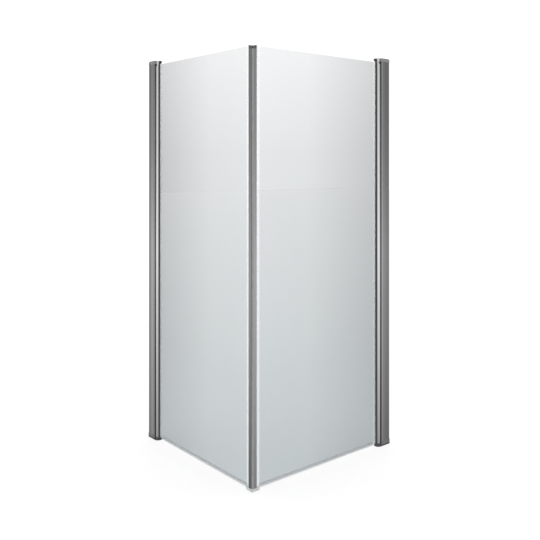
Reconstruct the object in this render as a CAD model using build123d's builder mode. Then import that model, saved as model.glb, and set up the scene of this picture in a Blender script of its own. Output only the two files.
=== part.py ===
from build123d import *
import os
from math import sqrt

# Corner shower screen with two frameless glass swing doors, all sizes in millimetres.
# Each door turns on pins in a profile screwed to its wall and closes against the other door at the
# front corner, magnet to magnet. The right door lies along X and faces -Y, the left one lies along Y
# and faces -X. The left side is the right side mirrored about the diagonal.

# Overall size
screen_height = 2000.0
screen_width = 886.0
glass_thickness = 6.0

# Wall channel
channel_depth = 36.0
channel_wall = 1.6
channel_web = 2.0
wall_hole_radius = 2.75
wall_hole_count = 4
wall_hole_end = 120.0
telescope_clearance = 0.3

# Hinge housing
housing_start = 13.0
housing_end = 60.0
housing_half_width = 20.5
housing_wall = 1.8
housing_front_web = 2.4
crown_start = 44.0
crown_drop = 1.5
lip_tip = 2.5
lip_round = 0.8
port_offset = 12.0
port_radius = 1.9
port_wall = 1.5
port_slit = 1.6

# Clamp screws through the housing into the channel, with their covers
clamp_from_wall = 26.0
clamp_count = 4
clamp_end = 180.0
clamp_radius = 2.0
clamp_length = 12.0
clamp_head_radius = 4.0
clamp_head_height = 2.6
clamp_slot_length = 10.0
cover_radius = 6.5
cover_height = 4.2
cover_cavity_radius = 4.6
cover_cavity_depth = 3.0
cover_round = 1.4
recess_width = 1.0
recess_length = 4.4
recess_depth = 1.4

# End caps, foot and their screws
top_cap_height = 18.0
bottom_cap_height = 16.0
nose_plate = 6.0
cap_overhang = 0.4
cap_shoulder = 11.0
cap_edge_round = 1.6
spigot_depth = 4.0
spigot_wall = 2.0
spigot_clearance = 0.4
cap_screw_radius = 1.85
cap_screw_length = 24.0
cap_screw_head_radius = 3.6
cap_screw_head_height = 2.2
cap_screw_floor = 6.0
foot_height = 8.0
foot_half_width = 21.5
foot_edge_round = 1.5

# Hinge column, pins and bushes
hinge_axis = 66.0
column_radius = 14.0
column_clearance = 0.6
column_core_wall = 1.8
column_skin = 1.7
pin_radius = 4.0
pin_reach = 18.0
pin_seat = 10.0
pin_head_radius = 6.0
pin_head_height = 2.0
pin_chamfer = 0.6
running_fit = 0.05
seat_fit = 0.02
bush_wall = 2.45
bush_length = 20.0
bush_flange = 1.2
bush_flange_inset = 0.1
running_gap = 0.3

# Hinge head on the top cap and the black screw that holds the upper bush
tongue_end = 40.0
tongue_half_width = 6.0
tongue_height = 8.0
lock_screw_offset = 3.1
lock_screw_radius = 3.0
lock_screw_drop = 5.0
lock_screw_inset = 1.6
lock_socket_radius = 1.7
lock_socket_depth = 2.5

# Glass pocket and the black wedge gasket
pocket_start = 74.0
pocket_lip_end = 81.5
pocket_lip_wall = 1.1
gasket_wall = 1.0
gasket_end = 90.7
gasket_inner_end = 82.0
gasket_knee = 82.5
gasket_knee_edge = 2.4
gasket_shoulder = 7.2
gasket_edge = 0.9
gasket_top_drop = 2.0
plug_half_width = 5.5
plug_end = 94.0
plug_neck_end = 88.5
plug_height = 12.0
plug_top_drop = 3.0
plug_round = 1.5
plug_top_round = 1.0
glass_nose_gap = 2.0
glass_cap_gap = 3.0

# Clear seals along the hinge side and the bottom edge
hinge_seal_leg = 21.5
hinge_seal_wall = 1.1
hinge_seal_fin = 11.5
drip_seal_wall = 1.1
drip_seal_base = 1.4
drip_seal_leg = 12.0
drip_lip_floor_gap = 8.0
drip_lip_wall = 1.2
drip_fin_reach = 10.0
drip_fin_drop = 5.0
drip_fin_root = 1.5

# Grip profile at the free edge, its gasket, caps and magnets
grip_width = 23.0
grip_half_width = 6.8
grip_slot_depth = 7.5
grip_corner_round = 1.6
grip_tip_round = 0.5
edge_gasket_wall = 0.5
edge_gasket_base = 0.5
edge_gasket_leg = 16.0
edge_gasket_leg_wall = 1.0
edge_top_cap_height = 14.0
edge_top_cap_lid = 2.4
edge_top_cap_shoulder = 15.5
edge_top_cap_drop = 13.0
corner_foot_gap = 2.0
corner_foot_round = 2.5
mitre_gap = 0.6
magnet_strip_depth = 5.6
magnet_strip_inset = 0.6
magnet_top_drop = 36.0
magnet_offset = -2.8
magnet_width = 10.0
magnet_thickness = 3.0
magnet_skin = 1.0
key_offset = -4.8
key_neck = 2.4
key_width = 5.0
key_neck_depth = 1.4
key_depth = 3.0
key_clearance = 0.15

# Heights worked out from the sizes above
profile_bottom = foot_height + bottom_cap_height
top_cap_bottom = screen_height - top_cap_height
profile_length = top_cap_bottom - profile_bottom
nose_top = foot_height + nose_plate
column_bottom = nose_top + running_gap + bush_flange
column_top = top_cap_bottom - running_gap - bush_flange
glass_bottom = nose_top + glass_nose_gap
glass_top = top_cap_bottom - glass_cap_gap
grip_top = glass_top - edge_top_cap_height
magnet_top = screen_height - magnet_top_drop
gasket_top = glass_top - gasket_top_drop
plug_top = screen_height - plug_top_drop
lock_screw_height = column_top - lock_screw_drop

# Plan sizes worked out from the sizes above
glass_half = glass_thickness / 2
face_to_foot = foot_half_width - glass_half
wall_position = (screen_width + face_to_foot) / 2
glass_middle = wall_position - screen_width + glass_half
corner_reach = wall_position - glass_middle
channel_half_width = housing_half_width - housing_wall - telescope_clearance
cavity_radius = column_radius + column_clearance
web_back = hinge_axis - cavity_radius - housing_front_web
port_outer = port_radius + port_wall
port_from_wall = web_back - port_radius - port_wall / 2
port_points = [(port_from_wall, port_offset), (port_from_wall, -port_offset)]
bush_radius = pin_radius + running_fit + bush_wall
core_bore = bush_radius + running_fit
pocket_half = glass_half + gasket_wall
glass_start = pocket_start + gasket_wall
hinge_seal_start = gasket_inner_end + running_gap
drip_seal_start = hinge_seal_start + hinge_seal_leg + running_gap
grip_start = corner_reach + glass_half - grip_width
slot_end = grip_start + grip_slot_depth
slot_half = glass_half + edge_gasket_wall
glass_end = slot_end - edge_gasket_base
edge_gasket_start = grip_start - edge_gasket_leg
grip_face = mitre_gap / 2 + magnet_strip_depth

# Heights of the wall screws and the clamp screws
wall_hole_step = (profile_length - 2 * wall_hole_end) / (wall_hole_count - 1)
wall_hole_heights = [profile_bottom + wall_hole_end + i * wall_hole_step for i in range(wall_hole_count)]
clamp_step = (profile_length - 2 * clamp_end) / (clamp_count - 1)
clamp_points = [(clamp_from_wall, profile_bottom + clamp_end + i * clamp_step) for i in range(clamp_count)]

# Plane of the floor plan: x runs from the wall to the corner, y out of the shower
plan = Plane(origin=(wall_position, glass_middle, 0), x_dir=(-1, 0, 0), z_dir=(0, 0, 1))
# Plane of the wall: x out of the shower, y up, z away from the wall
wall_face = Plane(origin=(wall_position, glass_middle, 0), x_dir=(0, -1, 0), z_dir=(-1, 0, 0))
# Plane of the housing's shower side: x away from the wall, y up, z into the shower
shower_face = Plane(
    origin=(wall_position, glass_middle + housing_half_width, 0), x_dir=(-1, 0, 0), z_dir=(0, 1, 0)
)
# Plane of the lock screw: it touches the column's outer side and faces out of the shower
lock_face = Plane(
    origin=(wall_position - hinge_axis - lock_screw_offset, glass_middle - column_radius, lock_screw_height),
    x_dir=(1, 0, 0),
    z_dir=(0, -1, 0),
)
# Plane of the floor plan turned to the mitre: x out along the diagonal, y into the right door
mitre_plan = Plane(origin=(glass_middle, glass_middle, 0), x_dir=(-1, -1, 0), z_dir=(0, 0, 1))
# The mirror between the two sides
diagonal = Plane(origin=(0, 0, 0), x_dir=(0, 0, 1), z_dir=(1, -1, 0))


def mitre_point(outward, depth):
    """Plan point this far out of the glass middle, on the line this deep behind the mitre."""
    return (corner_reach + outward - sqrt(2) * depth, outward)


def housing_outline(start, half_width):
    """Closed line with crowned sides that narrow towards the hinge, symmetrical about the glass."""
    with BuildLine() as outline:
        Polyline((start, 0), (start, half_width), (crown_start, half_width))
        TangentArc((crown_start, half_width), (housing_end, half_width - crown_drop), tangent=(1, 0))
        Line((housing_end, half_width - crown_drop), (housing_end, 0))
        mirror(about=Plane.XZ)
    return outline.line


def mouth_outline():
    """Closed line of the flared mouth that lets the door's gasket turn clear of the housing."""
    mouth = housing_half_width - crown_drop - lip_tip
    flare_root = hinge_axis - sqrt(cavity_radius**2 - port_offset**2)
    with BuildLine() as outline:
        Polyline(
            (flare_root, port_offset),
            (housing_end, mouth),
            (housing_end, -mouth),
            (flare_root, -port_offset),
            close=True,
        )
    return outline.line


def grip_outline(half_width):
    """Closed line of the grip profile, square on the glass side and cut at 45 degrees at the mitre."""
    with BuildLine() as outline:
        Polyline(
            (grip_start, half_width),
            mitre_point(half_width, grip_face),
            mitre_point(-half_width, grip_face),
            (grip_start, -half_width),
            close=True,
        )
    return outline.line


def pin_disc(radius):
    """Disc on the hinge axis."""
    with Locations((hinge_axis, 0)):
        Circle(radius)


def wall_channel():
    """U extrusion with the wall screw holes in its web and the clamp holes in its inner flange."""
    with BuildPart() as channel:
        with BuildSketch(plan.offset(profile_bottom)):
            with Locations((channel_depth / 2, 0)):
                Rectangle(channel_depth, 2 * channel_half_width)
            with Locations((channel_web + channel_depth / 2, 0)):
                Rectangle(channel_depth, 2 * (channel_half_width - channel_wall), mode=Mode.SUBTRACT)
        extrude(amount=profile_length)
        with BuildSketch(wall_face):
            with Locations(*[(0, height) for height in wall_hole_heights]):
                Circle(wall_hole_radius)
        extrude(amount=channel_web, mode=Mode.SUBTRACT)
        with BuildSketch(shower_face):
            with Locations(*clamp_points):
                Circle(clamp_radius + running_fit)
        extrude(amount=-clamp_length, mode=Mode.SUBTRACT)
    return channel


def hinge_housing():
    """Extrusion that slides over the channel and half surrounds the hinge column."""
    inside = housing_half_width - housing_wall
    with BuildPart() as housing:
        with BuildSketch(plan.offset(profile_bottom)) as outline:
            add(housing_outline(housing_start, housing_half_width))
            make_face()
            with Locations(((housing_start + web_back) / 2, 0)):
                Rectangle(web_back - housing_start, 2 * inside, mode=Mode.SUBTRACT)
            add(mouth_outline())
            make_face(mode=Mode.SUBTRACT)
            with Locations((hinge_axis, 0)):
                Circle(cavity_radius, mode=Mode.SUBTRACT)
            fillet(outline.vertices().group_by(Axis.X)[-1], radius=lip_round)
            with Locations(*port_points):
                Circle(port_outer)
                Circle(port_radius, mode=Mode.SUBTRACT)
            with Locations(*[(port_from_wall - port_outer / 2, y) for _, y in port_points]):
                Rectangle(port_outer, port_slit, mode=Mode.SUBTRACT)
        extrude(amount=profile_length)
        with BuildSketch(shower_face):
            with Locations(*clamp_points):
                SlotOverall(clamp_slot_length, 2 * (clamp_radius + telescope_clearance))
        extrude(amount=-housing_wall, mode=Mode.SUBTRACT)
    return housing


def clamp_screws():
    """Pan head screws that lock the housing to the channel."""
    with BuildPart() as screws:
        with BuildSketch(shower_face):
            with Locations(*clamp_points):
                Circle(clamp_head_radius)
        extrude(amount=clamp_head_height)
        fillet(screws.edges().group_by(Axis.Y)[-1], radius=clamp_head_height / 2)
        with BuildSketch(shower_face):
            with Locations(*clamp_points):
                Circle(clamp_radius)
        extrude(amount=-clamp_length)
        with BuildSketch(shower_face.offset(clamp_head_height)):
            with Locations(*clamp_points):
                Rectangle(recess_length, recess_width)
                Rectangle(recess_width, recess_length)
        extrude(amount=-recess_depth, mode=Mode.SUBTRACT)
    return screws


def screw_covers():
    """Hollow discs that snap over the clamp screw heads."""
    with BuildPart() as covers:
        with BuildSketch(shower_face):
            with Locations(*clamp_points):
                Circle(cover_radius)
        extrude(amount=cover_height)
        fillet(covers.edges().group_by(Axis.Y)[-1], radius=cover_round)
        with BuildSketch(shower_face):
            with Locations(*clamp_points):
                Circle(cover_cavity_radius)
        extrude(amount=cover_cavity_depth, mode=Mode.SUBTRACT)
    return covers


def spigot(height):
    """Frame on an end cap that fits inside the wall channel."""
    half_width = channel_half_width - channel_wall - spigot_clearance
    start = channel_web + spigot_clearance
    end = web_back - 2 * port_outer - spigot_clearance
    with BuildSketch(plan.offset(height)) as frame:
        with Locations(((start + end) / 2, 0)):
            Rectangle(end - start, 2 * half_width)
            Rectangle(end - start - 2 * spigot_wall, 2 * (half_width - spigot_wall), mode=Mode.SUBTRACT)
    return frame.sketch


def tongue(fit):
    """Bar on the hinge head that slides into the top cap, this much larger all round."""
    with Locations(((tongue_end + hinge_axis) / 2, 0)):
        Rectangle(hinge_axis - tongue_end + 2 * fit, 2 * (tongue_half_width + fit))


def top_cap():
    """Upper end cap, with its rounded shoulder at the wall and the seat of the hinge head."""
    with BuildPart() as cap:
        with BuildSketch(plan.offset(top_cap_bottom)):
            add(housing_outline(0, housing_half_width + cap_overhang))
            make_face()
        extrude(amount=top_cap_height)
        fillet(cap.faces().sort_by(Axis.Z)[-1].edges().sort_by(Axis.X)[-1], radius=cap_shoulder)
        fillet(cap.faces().sort_by(Axis.Z)[-1].edges().sort_by(Axis.X)[:-1], radius=cap_edge_round)
        with BuildSketch(plan.offset(top_cap_bottom)):
            pin_disc(column_radius + seat_fit)
        extrude(amount=top_cap_height, mode=Mode.SUBTRACT)
        with BuildSketch(plan.offset(top_cap_bottom)):
            tongue(seat_fit)
        extrude(amount=tongue_height + seat_fit, mode=Mode.SUBTRACT)
        extrude(spigot(top_cap_bottom), amount=-spigot_depth)
        with Locations(plan.offset(screen_height)):
            with Locations(*port_points):
                CounterBoreHole(
                    cap_screw_radius + telescope_clearance,
                    cap_screw_head_radius + telescope_clearance,
                    top_cap_height - cap_screw_floor,
                    depth=top_cap_height,
                )
    return cap


def top_hinge_head():
    """Round aluminium head over the column, with a tongue in the top cap and the seat of the upper pin."""
    with BuildPart() as head:
        with BuildSketch(plan.offset(top_cap_bottom)):
            pin_disc(column_radius)
        extrude(amount=top_cap_height)
        fillet(head.edges().group_by(Axis.Z)[-1], radius=cap_edge_round)
        with BuildSketch(plan.offset(top_cap_bottom)):
            tongue(0)
        extrude(amount=tongue_height)
        with BuildSketch(plan.offset(top_cap_bottom)):
            pin_disc(pin_radius + seat_fit)
        extrude(amount=pin_seat, mode=Mode.SUBTRACT)
    return head


def bottom_cap():
    """Lower end cap, with the thin nose that the door stands on."""
    with BuildPart() as cap:
        with BuildSketch(plan.offset(foot_height)):
            add(housing_outline(0, housing_half_width + cap_overhang))
            make_face()
        extrude(amount=bottom_cap_height)
        with BuildSketch(plan.offset(nose_top)):
            pin_disc(cavity_radius)
            add(mouth_outline())
            make_face()
        extrude(amount=bottom_cap_height - nose_plate, mode=Mode.SUBTRACT)
        with BuildSketch(plan.offset(foot_height)):
            pin_disc(column_radius)
        extrude(amount=nose_plate)
        extrude(spigot(profile_bottom), amount=spigot_depth)
        with Locations(plan.offset(foot_height).rotated((180, 0, 0))):
            with Locations(*port_points):
                CounterBoreHole(
                    cap_screw_radius + telescope_clearance,
                    cap_screw_head_radius + telescope_clearance,
                    bottom_cap_height - cap_screw_floor,
                    depth=bottom_cap_height,
                )
        with BuildSketch(plan.offset(foot_height)):
            pin_disc(pin_radius + seat_fit)
        extrude(amount=nose_plate, mode=Mode.SUBTRACT)
    return cap


def base_foot():
    """Dark foot on the floor, as wide as the profile, round at the hinge."""
    with BuildPart() as foot:
        with BuildSketch(plan):
            with Locations((hinge_axis / 2, 0)):
                Rectangle(hinge_axis, 2 * foot_half_width)
            pin_disc(foot_half_width)
        extrude(amount=foot_height)
        top_edges = foot.faces().sort_by(Axis.Z)[-1].edges().sort_by(Axis.X)[:-1]
        fillet(top_edges, radius=foot_edge_round)
        with BuildSketch(plan.offset(foot_height)):
            pin_disc(pin_head_radius + telescope_clearance)
        extrude(amount=-pin_head_height - telescope_clearance, mode=Mode.SUBTRACT)
    return foot


def cap_screws(head_height, direction):
    """Two screws on the housing's ports, from the underside of their heads in this direction."""
    with BuildPart() as screws:
        with BuildSketch(plan.offset(head_height)):
            with Locations(*port_points):
                Circle(cap_screw_head_radius)
        extrude(amount=-direction * cap_screw_head_height)
        with BuildSketch(plan.offset(head_height)):
            with Locations(*port_points):
                Circle(cap_screw_radius)
        extrude(amount=direction * cap_screw_length)
        with BuildSketch(plan.offset(head_height - direction * cap_screw_head_height)):
            with Locations(*port_points):
                Rectangle(recess_length, recess_width)
                Rectangle(recess_width, recess_length)
        extrude(amount=direction * recess_depth, mode=Mode.SUBTRACT)
    return screws


def top_cap_screws():
    """Screws down into the housing."""
    return cap_screws(top_cap_bottom + cap_screw_floor, -1)


def bottom_cap_screws():
    """Screws up into the housing."""
    return cap_screws(profile_bottom - cap_screw_floor, 1)


def top_pivot_pin():
    """Plain pin seated in the hinge head."""
    with BuildPart() as pin:
        with BuildSketch(plan.offset(top_cap_bottom - pin_reach)):
            pin_disc(pin_radius)
        extrude(amount=pin_reach + pin_seat)
        chamfer(pin.edges().group_by(Axis.Z)[0], length=pin_chamfer)
    return pin


def bottom_pivot_pin():
    """Headed pin pressed up through the nose of the bottom cap."""
    with BuildPart() as pin:
        with BuildSketch(plan.offset(foot_height)):
            pin_disc(pin_radius)
        extrude(amount=nose_plate + pin_reach)
        chamfer(pin.edges().group_by(Axis.Z)[-1], length=pin_chamfer)
        with BuildSketch(plan.offset(foot_height)):
            pin_disc(pin_head_radius)
        extrude(amount=-pin_head_height)
    return pin


def hinge_column():
    """Round extrusion with a core bore for the bushes, a hollow back and a pocket for the glass."""
    with BuildPart() as column:
        with BuildSketch(plan.offset(column_bottom)):
            pin_disc(column_radius)
            with Locations(((hinge_axis + pocket_lip_end) / 2, 0)):
                Rectangle(pocket_lip_end - hinge_axis, 2 * (pocket_half + pocket_lip_wall))
            with Locations(((pocket_start + gasket_end) / 2, 0)):
                Rectangle(gasket_end - pocket_start, 2 * pocket_half, mode=Mode.SUBTRACT)
            with Locations((hinge_axis, 0)):
                Circle(core_bore, mode=Mode.SUBTRACT)
        extrude(amount=column_top - column_bottom)
        with BuildSketch(plan.offset(column_bottom)):
            pin_disc(column_radius - column_skin)
            with Locations((hinge_axis, 0)):
                Circle(core_bore + column_core_wall, mode=Mode.SUBTRACT)
                Rectangle(2 * column_radius, column_skin, mode=Mode.SUBTRACT)
            with Locations((hinge_axis + column_radius / 2, 0)):
                Rectangle(column_radius, 2 * column_radius, mode=Mode.SUBTRACT)
        extrude(amount=column_top - column_bottom, mode=Mode.SUBTRACT)
        with BuildSketch(lock_face):
            Circle(lock_screw_radius + running_fit)
        extrude(amount=bush_radius - column_radius, mode=Mode.SUBTRACT)
    return column


def lock_screw():
    """Black socket screw, flush in the side of the column, that holds the upper bush."""
    with BuildPart() as screw:
        with BuildSketch(lock_face.offset(-lock_screw_inset)):
            Circle(lock_screw_radius)
        extrude(amount=core_bore + lock_screw_inset - column_radius)
        with BuildSketch(lock_face.offset(-lock_screw_inset)):
            RegularPolygon(lock_socket_radius, 6)
        extrude(amount=-lock_socket_depth, mode=Mode.SUBTRACT)
    return screw


def bush(flange_base, direction):
    """Flanged bearing in the column's end. The flange is cut away beside the glass."""
    with BuildPart() as bearing:
        with BuildSketch(plan.offset(flange_base)):
            pin_disc(column_radius - bush_flange_inset)
            with Locations(((pocket_start + gasket_end) / 2, 0)):
                neck = pocket_half + pocket_lip_wall
                Rectangle(gasket_end - pocket_start, 2 * neck, mode=Mode.SUBTRACT)
        extrude(amount=direction * bush_flange)
        with BuildSketch(plan.offset(flange_base)):
            pin_disc(bush_radius)
        extrude(amount=-direction * bush_length)
        with BuildSketch(plan.offset(flange_base - direction * bush_length)):
            pin_disc(pin_radius + running_fit)
        extrude(amount=direction * (bush_length + bush_flange), mode=Mode.SUBTRACT)
    return bearing


def top_bush():
    """Bearing in the upper end of the column."""
    return bush(column_top, 1)


def bottom_bush():
    """Bearing in the lower end of the column, which carries the door."""
    return bush(column_bottom, -1)


def glass_gasket():
    """Rubber wedge round the glass edge in the pocket, long on the outer face and short on the inner."""
    shoulder_start = hinge_axis + sqrt(column_radius**2 - gasket_shoulder**2)
    with BuildPart() as gasket:
        with BuildSketch(plan.offset(column_bottom)):
            with BuildLine():
                Polyline(
                    (pocket_start, gasket_shoulder),
                    (shoulder_start, gasket_shoulder),
                    (gasket_knee, glass_half + gasket_knee_edge),
                    (gasket_end, glass_half + gasket_edge),
                    (gasket_end, 0),
                    (gasket_inner_end, 0),
                    (gasket_inner_end, -glass_half - gasket_knee_edge),
                    (shoulder_start, -gasket_shoulder),
                    (pocket_start, -gasket_shoulder),
                    close=True,
                )
            make_face()
            with Locations((hinge_axis, 0)):
                Circle(column_radius + running_fit, mode=Mode.SUBTRACT)
            with Locations(((hinge_axis + pocket_lip_end) / 2, 0)):
                neck = pocket_half + pocket_lip_wall
                Rectangle(pocket_lip_end - hinge_axis, 2 * neck, mode=Mode.SUBTRACT)
            with Locations(((pocket_start + pocket_lip_end) / 2, 0)):
                Rectangle(pocket_lip_end - pocket_start, 2 * pocket_half)
            with Locations(((glass_start + gasket_end) / 2, 0)):
                Rectangle(gasket_end - glass_start, glass_thickness, mode=Mode.SUBTRACT)
        extrude(amount=gasket_top - column_bottom)
    return gasket


def gasket_plug():
    """Stop on a neck that stands on the glass, hollowed to turn round the hinge head."""
    clear_of_head = column_radius + running_gap
    with BuildPart() as plug:
        with BuildSketch(plan.offset(glass_top)):
            with Locations(((hinge_axis + plug_neck_end) / 2, 0)):
                Rectangle(plug_neck_end - hinge_axis, glass_thickness)
            with Locations((hinge_axis, 0)):
                Circle(clear_of_head, mode=Mode.SUBTRACT)
        extrude(amount=plug_top - plug_height - glass_top)
        with BuildSketch(plan.offset(plug_top)) as outline:
            with Locations(((hinge_axis + plug_end) / 2, 0)):
                Rectangle(plug_end - hinge_axis, 2 * plug_half_width)
            fillet(outline.vertices().group_by(Axis.X)[-1], radius=plug_round)
            with Locations((hinge_axis, 0)):
                Circle(clear_of_head, mode=Mode.SUBTRACT)
        extrude(amount=-plug_height)
        fillet(plug.edges().group_by(Axis.Z)[-1], radius=plug_top_round)
    return plug


def hinge_seal():
    """Clear strip on the shower side of the glass, with a fin towards the housing."""
    leg_face = -glass_half - hinge_seal_wall
    with BuildPart() as seal:
        with BuildSketch(plan.offset(column_bottom)):
            with BuildLine():
                Polyline(
                    (hinge_seal_start, -glass_half),
                    (hinge_seal_start + hinge_seal_leg, -glass_half),
                    (hinge_seal_start + hinge_seal_leg, leg_face),
                    (hinge_seal_start + 2 * hinge_seal_wall, leg_face),
                    (hinge_seal_start + hinge_seal_wall, leg_face - hinge_seal_fin),
                    (hinge_seal_start, leg_face - hinge_seal_fin),
                    close=True,
                )
            make_face()
        extrude(amount=column_top - column_bottom)
    return seal


def glass():
    """Toughened pane from the hinge pocket to the grip profile."""
    with BuildPart() as pane:
        with BuildSketch(plan.offset(glass_bottom)):
            with Locations(((glass_start + glass_end) / 2, 0)):
                Rectangle(glass_end - glass_start, glass_thickness)
        extrude(amount=glass_top - glass_bottom)
    return pane


def drip_seal():
    """Clear clip along the bottom edge, with an upright lip and a fin that throws water back in."""
    base = glass_bottom - drip_seal_base
    outside = glass_half + drip_seal_wall
    fin_top = base + drip_seal_base + drip_fin_root
    end = edge_gasket_start - running_gap
    with BuildPart() as seal:
        with BuildSketch(wall_face.offset(drip_seal_start)):
            with Locations((0, base + (drip_seal_base + drip_seal_leg) / 2)):
                Rectangle(2 * outside, drip_seal_base + drip_seal_leg)
            with Locations((0, glass_bottom + drip_seal_leg / 2)):
                Rectangle(glass_thickness, drip_seal_leg, mode=Mode.SUBTRACT)
            with Locations((0, (base + drip_lip_floor_gap) / 2)):
                Rectangle(drip_lip_wall, base - drip_lip_floor_gap)
            with BuildLine():
                Polyline(
                    (-outside, fin_top),
                    (-outside, fin_top - drip_lip_wall),
                    (-outside - drip_fin_reach, fin_top - drip_lip_wall - drip_fin_drop),
                    (-outside - drip_fin_reach, fin_top - drip_fin_drop),
                    close=True,
                )
            make_face()
        extrude(amount=end - drip_seal_start)
    return seal


def edge_profile():
    """Aluminium grip profile with a slot for the glass and a keyway for the magnet strip."""
    with BuildPart() as profile:
        with BuildSketch(plan.offset(glass_bottom)) as outline:
            add(grip_outline(grip_half_width))
            make_face()
            fillet(outline.vertices().group_by(Axis.X)[0], radius=grip_corner_round)
            fillet(outline.vertices().sort_by(Axis.X)[-1], radius=grip_tip_round)
            with Locations(((grip_start + slot_end) / 2, 0)):
                Rectangle(slot_end - grip_start, 2 * slot_half, mode=Mode.SUBTRACT)
        extrude(amount=grip_top - glass_bottom)
        with BuildSketch(mitre_plan.offset(glass_bottom)):
            with Locations((key_offset, grip_face + key_neck_depth / 2)):
                Rectangle(key_neck, key_neck_depth)
            with Locations((key_offset, grip_face + (key_neck_depth + key_depth) / 2)):
                Rectangle(key_width, key_depth - key_neck_depth)
        extrude(amount=grip_top - glass_bottom, mode=Mode.SUBTRACT)
    return profile


def edge_gasket():
    """Clear strip that wraps the glass edge in the slot and lies on both faces beside the profile."""
    with BuildPart() as gasket:
        with BuildSketch(plan.offset(glass_bottom)):
            with Locations(((grip_start + slot_end) / 2, 0)):
                Rectangle(slot_end - grip_start, 2 * slot_half)
            with Locations(((edge_gasket_start + grip_start) / 2, 0)):
                Rectangle(edge_gasket_leg, glass_thickness + 2 * edge_gasket_leg_wall)
            with Locations(((edge_gasket_start + glass_end) / 2, 0)):
                Rectangle(glass_end - edge_gasket_start, glass_thickness, mode=Mode.SUBTRACT)
        extrude(amount=glass_top - glass_bottom)
    return gasket


def edge_top_cap():
    """Dark cap over the grip profile and the corner of the glass, with a shoulder that falls to the mitre."""
    cap_top = grip_top + edge_top_cap_height + edge_top_cap_lid
    shoulder_end, _ = mitre_point(grip_half_width, grip_face)
    shoulder_start = shoulder_end - edge_top_cap_shoulder
    with BuildPart() as cap:
        with BuildSketch(plan.offset(grip_top)) as outline:
            add(grip_outline(grip_half_width))
            make_face()
            fillet(outline.vertices().group_by(Axis.X)[0], radius=grip_corner_round)
        extrude(amount=edge_top_cap_height + edge_top_cap_lid)
        with BuildSketch(shower_face.offset(-housing_half_width)):
            with BuildLine():
                TangentArc(
                    (shoulder_start, cap_top), (shoulder_end, cap_top - edge_top_cap_drop), tangent=(1, 0)
                )
                Polyline(
                    (shoulder_end, cap_top - edge_top_cap_drop),
                    (corner_reach, cap_top - edge_top_cap_drop),
                    (corner_reach, cap_top),
                    (shoulder_start, cap_top),
                )
            make_face()
        extrude(amount=grip_half_width, both=True, mode=Mode.SUBTRACT)
        with BuildSketch(plan.offset(grip_top)):
            with Locations(((grip_start + slot_end) / 2, 0)):
                Rectangle(slot_end - grip_start, 2 * slot_half)
        extrude(amount=edge_top_cap_height, mode=Mode.SUBTRACT)
    return cap


def edge_bottom_cap():
    """Clear corner piece under the grip profile and the end of the glass, mitred like the magnets."""
    with BuildPart() as cap:
        with BuildSketch(plan.offset(corner_foot_gap)):
            with BuildLine():
                Polyline(
                    (edge_gasket_start, grip_half_width),
                    mitre_point(grip_half_width, mitre_gap / 2),
                    mitre_point(-grip_half_width, mitre_gap / 2),
                    (edge_gasket_start, -grip_half_width),
                    close=True,
                )
            make_face()
        extrude(amount=glass_bottom - corner_foot_gap)
        bottom_edges = cap.faces().sort_by(Axis.Z)[0].edges().sort_by(Axis.Y)
        fillet([bottom_edges[0], bottom_edges[-1]], radius=corner_foot_round)
    return cap


def magnet_strip():
    """Pale carrier strip cut at 45 degrees, keyed into the grip profile, hollow for its magnet."""
    half_width = grip_half_width - magnet_strip_inset
    with BuildPart() as strip:
        with BuildSketch(plan.offset(glass_bottom)):
            with BuildLine():
                Polyline(
                    mitre_point(half_width, mitre_gap / 2),
                    mitre_point(half_width, grip_face),
                    mitre_point(-half_width, grip_face),
                    mitre_point(-half_width, mitre_gap / 2),
                    close=True,
                )
            make_face()
        extrude(amount=magnet_top - glass_bottom)
        with BuildSketch(mitre_plan.offset(glass_bottom)):
            with Locations((key_offset, grip_face + key_neck_depth / 2)):
                Rectangle(key_neck - 2 * key_clearance, key_neck_depth + 2 * key_clearance)
            with Locations((key_offset, grip_face + (key_neck_depth + key_depth) / 2)):
                Rectangle(key_width - 2 * key_clearance, key_depth - key_neck_depth - 2 * key_clearance)
        extrude(amount=grip_top - glass_bottom)
        with BuildSketch(mitre_plan.offset(glass_bottom)):
            with Locations((magnet_offset, mitre_gap / 2 + magnet_skin + magnet_thickness / 2)):
                Rectangle(magnet_width, magnet_thickness)
        extrude(amount=magnet_top - glass_bottom, mode=Mode.SUBTRACT)
    return strip


def magnet_bar():
    """Flexible magnet inside the carrier strip."""
    with BuildPart() as bar:
        with BuildSketch(mitre_plan.offset(glass_bottom)):
            with Locations((magnet_offset, mitre_gap / 2 + magnet_skin + magnet_thickness / 2)):
                Rectangle(magnet_width - 2 * running_fit, magnet_thickness - 2 * running_fit)
        extrude(amount=magnet_top - glass_bottom)
    return bar


# Every piece of the right side
makers = [
    wall_channel,
    hinge_housing,
    clamp_screws,
    screw_covers,
    top_cap,
    top_hinge_head,
    bottom_cap,
    base_foot,
    top_cap_screws,
    bottom_cap_screws,
    top_pivot_pin,
    bottom_pivot_pin,
    hinge_column,
    lock_screw,
    top_bush,
    bottom_bush,
    glass_gasket,
    gasket_plug,
    hinge_seal,
    glass,
    drip_seal,
    edge_profile,
    edge_gasket,
    edge_top_cap,
    edge_bottom_cap,
    magnet_strip,
    magnet_bar,
]

# The pieces are written for the right side and, mirrored, for the left side
os.makedirs("parts", exist_ok=True)
for make in makers:
    right = make()
    right.part.label = "right_" + make.__name__
    export_step(right.part, f"parts/{right.part.label}.step")
    with BuildPart() as left:
        mirror(right.part, about=diagonal)
    left.part.label = "left_" + make.__name__
    export_step(left.part, f"parts/{left.part.label}.step")
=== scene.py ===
import math

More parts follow.
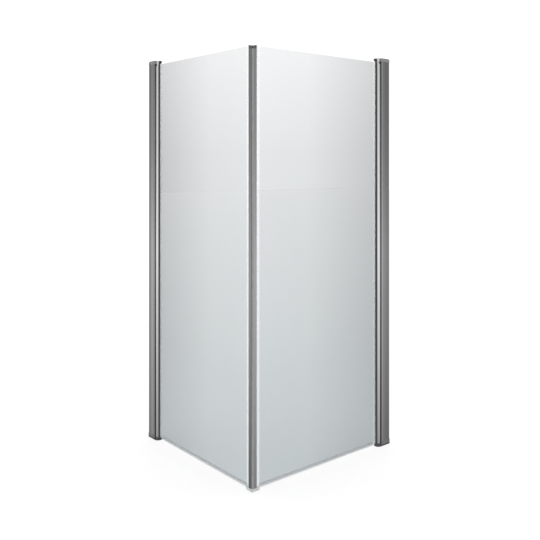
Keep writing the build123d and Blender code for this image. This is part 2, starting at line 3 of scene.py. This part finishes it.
import bmesh
import bpy
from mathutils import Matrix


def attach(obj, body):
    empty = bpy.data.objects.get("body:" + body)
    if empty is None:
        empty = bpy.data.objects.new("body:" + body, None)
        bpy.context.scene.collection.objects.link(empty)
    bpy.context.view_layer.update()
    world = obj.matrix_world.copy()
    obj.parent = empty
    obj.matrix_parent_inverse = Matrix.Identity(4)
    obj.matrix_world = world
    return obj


# The whole look of the shower screen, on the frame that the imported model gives.
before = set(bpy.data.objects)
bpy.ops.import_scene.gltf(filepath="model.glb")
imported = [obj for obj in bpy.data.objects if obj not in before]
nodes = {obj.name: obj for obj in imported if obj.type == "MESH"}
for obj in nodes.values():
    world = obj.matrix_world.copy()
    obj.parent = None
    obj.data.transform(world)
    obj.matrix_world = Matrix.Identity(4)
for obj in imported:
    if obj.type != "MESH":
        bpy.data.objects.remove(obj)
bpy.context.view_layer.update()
SIDES = ("right", "left")

# Camera, from the vanishing lines and the heights in the photograph
CAMERA_PLACE = (-2.35975, -2.94975, 1.446)
CAMERA_TURN = math.radians(-40.71)
CAMERA_LENS = 47.713
CAMERA_SHIFT = (-0.04296, -0.19333)
SENSOR_WIDTH = 36.0

# Outer glass face at the corner, glass middle and the face of the wall, in the row frame
CORNER = -0.43375
GLASS_MIDDLE = -0.43075
WALL = 0.45225
SCREEN_HEIGHT = 2.0
# The axis that each door lies along
AXES = {"right": "X", "left": "Y"}


def grey(value):
    return (value, value, value)


def link(tree, source, target):
    tree.links.new(source, target)


def new_material(name):
    """A material with a Principled shader, and its node tree."""
    material = bpy.data.materials.new(name)
    material.use_nodes = True
    tree = material.node_tree
    shader = tree.nodes["Principled BSDF"]
    return material, tree, shader


def object_coords(tree, scale):
    """Object coordinates, stretched by this scale."""
    coords = tree.nodes.new("ShaderNodeTexCoord")
    mapping = tree.nodes.new("ShaderNodeMapping")
    mapping.inputs["Scale"].default_value = scale
    link(tree, coords.outputs["Object"], mapping.inputs["Vector"])
    return mapping.outputs["Vector"]


def noise(tree, vector, scale, detail=4.0, roughness=0.5):
    node = tree.nodes.new("ShaderNodeTexNoise")
    node.inputs["Scale"].default_value = scale
    node.inputs["Detail"].default_value = detail
    node.inputs["Roughness"].default_value = roughness
    link(tree, vector, node.inputs["Vector"])
    return node.outputs["Fac"]


def ramp(tree, factor, stops):
    """A straight gradient through these (place, colour) stops."""
    node = tree.nodes.new("ShaderNodeValToRGB")
    node.color_ramp.interpolation = "LINEAR"
    elements = node.color_ramp.elements
    while len(elements) < len(stops):
        elements.new(0.5)
    for element, (place, colour) in zip(elements, stops):
        element.position = place
        element.color = (*colour, 1.0)
    link(tree, factor, node.inputs["Fac"])
    return node.outputs["Color"]


def map_range(tree, value, low, high, to_low, to_high):
    node = tree.nodes.new("ShaderNodeMapRange")
    for name, number in (("From Min", low), ("From Max", high), ("To Min", to_low), ("To Max", to_high)):
        node.inputs[name].default_value = number
    link(tree, value, node.inputs["Value"])
    return node.outputs["Result"]


def vary_roughness(tree, shader, pattern, low, high):
    """Roughness between these two values, by the pattern."""
    link(tree, map_range(tree, pattern, 0.3, 0.7, low, high), shader.inputs["Roughness"])


def bump(tree, shader, height, strength, distance):
    node = tree.nodes.new("ShaderNodeBump")
    node.inputs["Strength"].default_value = strength
    node.inputs["Distance"].default_value = distance
    link(tree, height, node.inputs["Height"])
    link(tree, node.outputs["Normal"], shader.inputs["Normal"])


def multiply(tree, first, second):
    node = tree.nodes.new("ShaderNodeMix")
    node.data_type = "RGBA"
    node.blend_type = "MULTIPLY"
    node.inputs["Factor"].default_value = 1.0
    node.clamp_result = True
    link(tree, first, node.inputs["A"])
    link(tree, second, node.inputs["B"])
    return node.outputs["Result"]


def from_wall(tree, side, distance):
    """How far along the door a point lies: 0 at the wall face, 1 at this distance (m) from it."""
    coords = tree.nodes.new("ShaderNodeTexCoord")
    parts = tree.nodes.new("ShaderNodeSeparateXYZ")
    link(tree, coords.outputs["Object"], parts.inputs["Vector"])
    return map_range(tree, parts.outputs[AXES[side]], WALL, WALL - distance, 0.0, 1.0)


def from_floor(tree):
    """How high a point lies: 0 at the floor, 1 at the top of the screen."""
    coords = tree.nodes.new("ShaderNodeTexCoord")
    parts = tree.nodes.new("ShaderNodeSeparateXYZ")
    link(tree, coords.outputs["Object"], parts.inputs["Vector"])
    return map_range(tree, parts.outputs["Z"], 0.0, SCREEN_HEIGHT, 0.0, 1.0)


def height_shade(tree, colour, bottom, middle, top):
    """The colour, shaded from the floor up."""
    stops = [(0.0, grey(bottom)), (0.5, grey(middle)), (1.0, grey(top))]
    return multiply(tree, colour, ramp(tree, from_floor(tree), stops))


def anodised(name, dark, light, roughness, shade, side=None, reach=1.0, painted_light=None):
    """Satin anodised aluminium: fine draw lines along the extrusion and faint cloudiness, with painted
    shade from the floor up and, where given, painted highlights and shade across the profile.
    """
    material, tree, shader = new_material(name)
    lines = noise(tree, object_coords(tree, (900, 900, 1.5)), 1.0, 6.0, 0.6)
    clouds = noise(tree, object_coords(tree, (6, 6, 1.2)), 1.0, 3.0)
    colour = ramp(tree, lines, [(0.3, dark), (0.7, light)])
    # Painted highlights and painted shade across the profile, from the wall out
    if painted_light:
        stops = [(spot, grey(value)) for spot, value in painted_light]
        colour = multiply(tree, colour, ramp(tree, from_wall(tree, side, reach), stops))
    # Painted shade from the floor up
    link(tree, height_shade(tree, colour, *shade), shader.inputs["Base Color"])
    vary_roughness(tree, shader, clouds, roughness - 0.05, roughness + 0.05)
    shader.inputs["Metallic"].default_value = 1.0
    bump(tree, shader, lines, 0.12, 0.0002)
    return material


def plastic(name, dark, light, roughness, grain=2500):
    """Moulded plastic with a fine spark-eroded grain."""
    material, tree, shader = new_material(name)
    fine = noise(tree, object_coords(tree, (1, 1, 1)), grain, 2.0)
    clouds = noise(tree, object_coords(tree, (1, 1, 1)), 30, 3.0)
    link(tree, ramp(tree, clouds, [(0.3, dark), (0.7, light)]), shader.inputs["Base Color"])
    vary_roughness(tree, shader, fine, roughness - 0.06, roughness + 0.06)
    bump(tree, shader, fine, 0.2, 0.0001)
    return material


def rubber(name, dark, light):
    """Extruded black rubber with long die lines."""
    material, tree, shader = new_material(name)
    lines = noise(tree, object_coords(tree, (700, 700, 4)), 1.0, 4.0)
    link(tree, ramp(tree, lines, [(0.3, dark), (0.7, light)]), shader.inputs["Base Color"])
    vary_roughness(tree, shader, lines, 0.5, 0.65)
    bump(tree, shader, lines, 0.15, 0.0002)
    return material


def clear_vinyl(name, dark, light, roughness, cover):
    """Clear extruded vinyl, slightly milky, with long flow lines."""
    material, tree, shader = new_material(name)
    lines = noise(tree, object_coords(tree, (400, 400, 3)), 1.0, 4.0)
    link(tree, ramp(tree, lines, [(0.3, dark), (0.7, light)]), shader.inputs["Base Color"])
    vary_roughness(tree, shader, lines, roughness - 0.04, roughness + 0.04)
    shader.inputs["Alpha"].default_value = cover
    bump(tree, shader, lines, 0.1, 0.0002)
    return material


def steel(name):
    """Plain stainless screw and pin steel with turning marks."""
    material, tree, shader = new_material(name)
    marks = noise(tree, object_coords(tree, (300, 300, 300)), 4.0, 5.0)
    colour = ramp(tree, marks, [(0.3, (0.42, 0.42, 0.42)), (0.7, (0.58, 0.58, 0.57))])
    link(tree, colour, shader.inputs["Base Color"])
    vary_roughness(tree, shader, marks, 0.25, 0.4)
    shader.inputs["Metallic"].default_value = 1.0
    return material


# Painted shade and painted light of the pane, from the floor up and then from the wall to the corner,
# over the glass's slight tint.
# They stand for the room that the pane shows and reflects in the photograph, and were fitted to its
# greys. So were the painted highlights and shade of the profiles below.
PANE_TINT_AND_PAINTED_SHADE = [
    (0.0, (0.545, 0.588, 0.603)),
    (0.25, (0.550, 0.585, 0.596)),
    (0.75, (0.670, 0.685, 0.693)),
    (1.0, (0.827, 0.832, 0.838)),
]
PANE_PAINTED_BANDS = [
    (0.0, 1.10),
    (0.1165, 1.10),
    (0.1185, 0.73),
    (0.62, 0.97),
    (0.954, 1.0),
    (0.956, 1.45),
]


def pane_glass(name, side):
    """Clear toughened glass with a slight blue-green tint, its colour carrying painted shade, darker low
    down and towards the hinge, and painted light at the hinge seal and the corner.
    """
    material, tree, shader = new_material(name)
    # Painted shade from the floor up, and painted shade and light along the door from the wall to the
    # corner
    shade = ramp(tree, from_floor(tree), PANE_TINT_AND_PAINTED_SHADE)
    along = from_wall(tree, side, WALL - CORNER)
    bands = ramp(tree, along, [(spot, grey(value)) for spot, value in PANE_PAINTED_BANDS])
    link(tree, multiply(tree, shade, bands), shader.inputs["Base Color"])
    shader.inputs["Roughness"].default_value = 0.0
    shader.inputs["Transmission Weight"].default_value = 1.0
    shader.inputs["IOR"].default_value = 1.5
    return material


# Metals: dark and light tone, roughness, and the painted shade at the bottom, middle and top
HOUSING_TONES = (grey(0.24), grey(0.29), 0.34, (0.55, 1.0, 0.85))
# Painted highlights and painted shade across the housings: (share of the reach from the wall, shade)
HOUSING_REACH = 0.060
HOUSING_PAINTED_LIGHT = {
    "right": [
        (0.2, 0.80),
        (0.45, 0.88),
        (0.75, 1.05),
        (0.88, 1.15),
        (0.91, 1.8),
        (0.955, 1.8),
        (0.98, 0.9),
    ],
    "left": [
        (0.2, 0.75),
        (0.4, 1.05),
        (0.55, 1.45),
        (0.72, 1.45),
        (0.9, 1.2),
        (1.0, 1.15),
    ],
}
housing_metal = {}
for side in SIDES:
    housing_metal[side] = anodised(
        f"{side}_housing", *HOUSING_TONES, side=side, reach=HOUSING_REACH, painted_light=HOUSING_PAINTED_LIGHT[side]
    )
# Both grips are one metal: the right one's lighter tone is painted light, the left one's darker tone and
# darker bottom painted shade
grip_metal = {
    "right": anodised("right_grip", grey(0.32), grey(0.37), 0.34, (0.60, 1.1, 0.95)),
    "left": anodised("left_grip", grey(0.24), grey(0.29), 0.34, (0.40, 1.1, 0.95)),
}
channel_metal = anodised("channel_anodised", grey(0.22), grey(0.27), 0.40, (0.6, 1.0, 1.1))
# The column is the housings' aluminium; its much lighter tone is a painted highlight of its round side
column_metal = anodised("column_anodised", grey(0.62), grey(0.70), 0.28, (0.45, 1.0, 0.75))
# Plastics and vinyls: dark and light tone, roughness, and how much a clear vinyl covers
cap_plastic = plastic("grey_cap", (0.18, 0.185, 0.19), (0.22, 0.225, 0.23), 0.45)
# The bottom cap is the caps' grey plastic, toned darker: painted shade near the floor
low_cap_plastic = plastic("grey_low_cap", (0.085, 0.088, 0.09), (0.11, 0.113, 0.115), 0.45)
foot_plastic = plastic("dark_foot", (0.03, 0.031, 0.033), (0.042, 0.044, 0.046), 0.55)
grip_cap_plastic = plastic("dark_grip_cap", (0.055, 0.057, 0.06), (0.075, 0.078, 0.08), 0.5)
bush_plastic = plastic("black_bush", (0.012, 0.012, 0.013), (0.02, 0.02, 0.021), 0.4)
black_rubber = rubber("black_gasket", (0.02, 0.02, 0.021), (0.035, 0.035, 0.036))
vinyl = clear_vinyl("clear_vinyl", (0.86, 0.88, 0.89), (0.93, 0.94, 0.95), 0.25, 0.18)
drip_vinyl = clear_vinyl("drip_vinyl", (0.50, 0.52, 0.53), (0.60, 0.62, 0.63), 0.25, 0.26)
corner_vinyl = clear_vinyl("corner_vinyl", (0.42, 0.44, 0.45), (0.55, 0.57, 0.58), 0.20, 0.62)
# Both magnet covers are one plastic: the right one's lighter tone is painted light, the left one's darker
# tone painted shade
magnet_cover = {
    "right": plastic("right_magnet_cover", grey(0.23), grey(0.28), 0.35),
    "left": plastic("left_magnet_cover", grey(0.11), grey(0.14), 0.35),
}
magnet = plastic("magnet_rubber", (0.05, 0.035, 0.03), (0.07, 0.05, 0.04), 0.6)
screw_steel = steel("screw_steel")

# The material of each piece, by side where the two sides differ
MATERIALS = {
    "wall_channel": channel_metal,
    "hinge_housing": housing_metal,
    "edge_profile": grip_metal,
    "hinge_column": column_metal,
    "top_hinge_head": column_metal,
    "top_cap": cap_plastic,
    "bottom_cap": low_cap_plastic,
    "screw_covers": cap_plastic,
    "base_foot": foot_plastic,
    "edge_top_cap": grip_cap_plastic,
    "top_bush": bush_plastic,
    "bottom_bush": bush_plastic,
    "lock_screw": bush_plastic,
    "glass_gasket": black_rubber,
    "gasket_plug": black_rubber,
    "hinge_seal": vinyl,
    "drip_seal": drip_vinyl,
    "edge_gasket": vinyl,
    "edge_bottom_cap": corner_vinyl,
    "magnet_strip": magnet_cover,
    "magnet_bar": magnet,
    "clamp_screws": screw_steel,
    "top_cap_screws": screw_steel,
    "bottom_cap_screws": screw_steel,
    "top_pivot_pin": screw_steel,
    "bottom_pivot_pin": screw_steel,
}
for side in SIDES:
    for name, material in MATERIALS.items():
        piece = nodes[f"{side}_{name}"]
        piece.data.materials.clear()
        piece.data.materials.append(material[side] if isinstance(material, dict) else material)
    pane = nodes[f"{side}_glass"]
    pane.data.materials.clear()
    pane.data.materials.append(pane_glass(f"{side}_pane", side))

# Seals stand this far off the glass that they grip, so that no two faces share one place
SEAL_SHRINK = 0.00003
for side in SIDES:
    for name in ("hinge_seal", "drip_seal", "edge_gasket", "glass_gasket"):
        shrink = nodes[f"{side}_{name}"].modifiers.new("shrink", "DISPLACE")
        shrink.strength = -SEAL_SHRINK
        shrink.mid_level = 0.0


def new_piece(name, points, faces, material, body, bevel):
    """A small solid that rides on a body, its edges broken by this bevel."""
    mesh = bpy.data.meshes.new(name)
    shape = bmesh.new()
    corners = [shape.verts.new(point) for point in points]
    for face in faces:
        shape.faces.new([corners[index] for index in face])
    bmesh.ops.recalc_face_normals(shape, faces=shape.faces)
    shape.to_mesh(mesh)
    shape.free()
    piece = bpy.data.objects.new(name, mesh)
    bpy.context.scene.collection.objects.link(piece)
    mesh.materials.append(material)
    if bevel:
        edges = piece.modifiers.new("bevel", "BEVEL")
        edges.width = bevel
        edges.segments = 2
    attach(piece, body)
    return piece


def prism(points, low, high):
    """Points and faces of an upright prism on this outline."""
    count = len(points)
    solid = [(x, y, low) for x, y in points] + [(x, y, high) for x, y in points]
    faces = [tuple(range(count)), tuple(range(count, 2 * count))]
    for index in range(count):
        after = (index + 1) % count
        faces.append((index, after, after + count, index + count))
    return solid, faces


def on_side(side, x, y):
    """A plan point of the right side, or its mirror image on the left side."""
    return (x, y) if side == "right" else (y, x)


# End plugs of the magnet strips: the strip's own section, from its top to just under the grip caps' tops
PLUG_HALF = 0.0062
PLUG_GAP = 0.0003
PLUG_DEPTH = 0.00585
PLUG_LOW = 1.96502
PLUG_HIGH = 1.9775
PLUG_BEVEL = 0.0003
# Corners of the section: how far out of the glass middle, and how deep behind the mitre
PLUG_CORNERS = (
    (PLUG_HALF, PLUG_GAP),
    (PLUG_HALF, PLUG_DEPTH),
    (-PLUG_HALF, PLUG_DEPTH),
    (-PLUG_HALF, PLUG_GAP),
)
for side in SIDES:
    section = []
    for out, depth in PLUG_CORNERS:
        section.append(on_side(side, GLASS_MIDDLE + (math.sqrt(2) * depth - out), GLASS_MIDDLE - out))
    points, faces = prism(section, PLUG_LOW, PLUG_HIGH)
    name = f"{side}_magnet_plug"
    new_piece(name, points, faces, grip_cap_plastic, f"{side}_door", PLUG_BEVEL)

# Black button over the lock screw: a round cap that follows the column's round side. It starts a little
# under that side and ends a little over it, inside the gap to the housing.
HINGE_AXIS = 0.38625
COLUMN_RADIUS = 0.014
BUTTON_RISE = 0.00025
BUTTON_SINK = 0.0004
BUTTON_RADIUS = 0.0046
BUTTON_ACROSS = -0.0031
BUTTON_HEIGHT = 1.9757
BUTTON_RINGS = 6
BUTTON_SPOKES = 28


def button_point(side, ring, spoke, rise):
    """A point of the button's skin: it lies on the column's round side, lifted by this rise."""
    reach = BUTTON_RADIUS * ring / BUTTON_RINGS
    turn = 2 * math.pi * spoke / BUTTON_SPOKES
    across = BUTTON_ACROSS + reach * math.cos(turn)
    angle = math.asin(across / COLUMN_RADIUS)
    radius = COLUMN_RADIUS + rise
    x, y = on_side(side, HINGE_AXIS + radius * math.sin(angle), GLASS_MIDDLE - radius * math.cos(angle))
    return (x, y, BUTTON_HEIGHT + reach * math.sin(turn))


for side in SIDES:
    points = []
    for ring in range(1, BUTTON_RINGS + 1):
        lift = BUTTON_RISE * math.sqrt(1 - (ring / (BUTTON_RINGS + 1)) ** 2)
        points += [button_point(side, ring, spoke, lift) for spoke in range(BUTTON_SPOKES)]
    points += [button_point(side, BUTTON_RINGS, spoke, -BUTTON_SINK) for spoke in range(BUTTON_SPOKES)]
    faces = [tuple(range(BUTTON_SPOKES))]
    for ring in range(BUTTON_RINGS):
        inner = ring * BUTTON_SPOKES
        outer = inner + BUTTON_SPOKES
        for spoke in range(BUTTON_SPOKES):
            after = (spoke + 1) % BUTTON_SPOKES
            faces.append((inner + spoke, inner + after, outer + after, outer + spoke))
    last_ring = BUTTON_RINGS * BUTTON_SPOKES
    faces.append(tuple(range(last_ring, last_ring + BUTTON_SPOKES)))
    name = f"{side}_lock_button"
    new_piece(name, points, faces, bush_plastic, f"{side}_door", 0.0)

# Floor: white, mostly by light of its own, so that it stays as pale as the photograph's ground
FLOOR_SIZE = 60.0
FLOOR_OWN_LIGHT = 0.78
bpy.ops.mesh.primitive_plane_add(size=FLOOR_SIZE, location=(0.0, 0.0, 0.0))
floor = bpy.context.object
floor.name = "floor"
floor_material, floor_tree, floor_shader = new_material("floor")
floor_shader.inputs["Base Color"].default_value = (0.14, 0.14, 0.14, 1.0)
floor_shader.inputs["Roughness"].default_value = 0.9
floor_shader.inputs["Emission Color"].default_value = (1.0, 1.0, 1.0, 1.0)
floor_shader.inputs["Emission Strength"].default_value = FLOOR_OWN_LIGHT
floor.data.materials.append(floor_material)

# Soft studio: white behind and before the screen, grey at its two sides, brightest overhead, and a little
# brighter at the horizon, where it meets the floor
STUDIO_STRENGTH = 2.2
SIDE_STOPS = [(0.0, grey(1)), (0.55, grey(1)), (0.8, grey(0.6)), (1.0, grey(0.45))]
HEIGHT_STOPS = [(0.0, grey(0.555)), (0.35, grey(0.5)), (0.75, grey(1))]
world = bpy.data.worlds.new("studio")
bpy.context.scene.world = world
world.use_nodes = True
sky = world.node_tree
direction = sky.nodes.new("ShaderNodeTexCoord").outputs["Generated"]
across = sky.nodes.new("ShaderNodeVectorMath")
across.operation = "DOT_PRODUCT"
across.inputs[1].default_value = (math.sqrt(0.5), -math.sqrt(0.5), 0.0)
link(sky, direction, across.inputs[0])
sideways = sky.nodes.new("ShaderNodeMath")
sideways.operation = "ABSOLUTE"
link(sky, across.outputs["Value"], sideways.inputs[0])
walls = ramp(sky, sideways.outputs["Value"], SIDE_STOPS)
sky_parts = sky.nodes.new("ShaderNodeSeparateXYZ")
link(sky, direction, sky_parts.inputs["Vector"])
overhead = ramp(sky, sky_parts.outputs["Z"], HEIGHT_STOPS)
link(sky, multiply(sky, walls, overhead), sky.nodes["Background"].inputs["Color"])
sky.nodes["Background"].inputs["Strength"].default_value = STUDIO_STRENGTH
bpy.context.scene.view_settings.view_transform = "Standard"
bpy.context.scene.view_settings.look = "None"

# Camera
camera_data = bpy.data.cameras.new("camera")
camera = bpy.data.objects.new("camera", camera_data)
bpy.context.scene.collection.objects.link(camera)
camera.location = CAMERA_PLACE
camera.rotation_euler = (math.radians(90), 0.0, CAMERA_TURN)
camera_data.sensor_width = SENSOR_WIDTH
camera_data.lens = CAMERA_LENS
camera_data.shift_x, camera_data.shift_y = CAMERA_SHIFT
bpy.context.scene.camera = camera
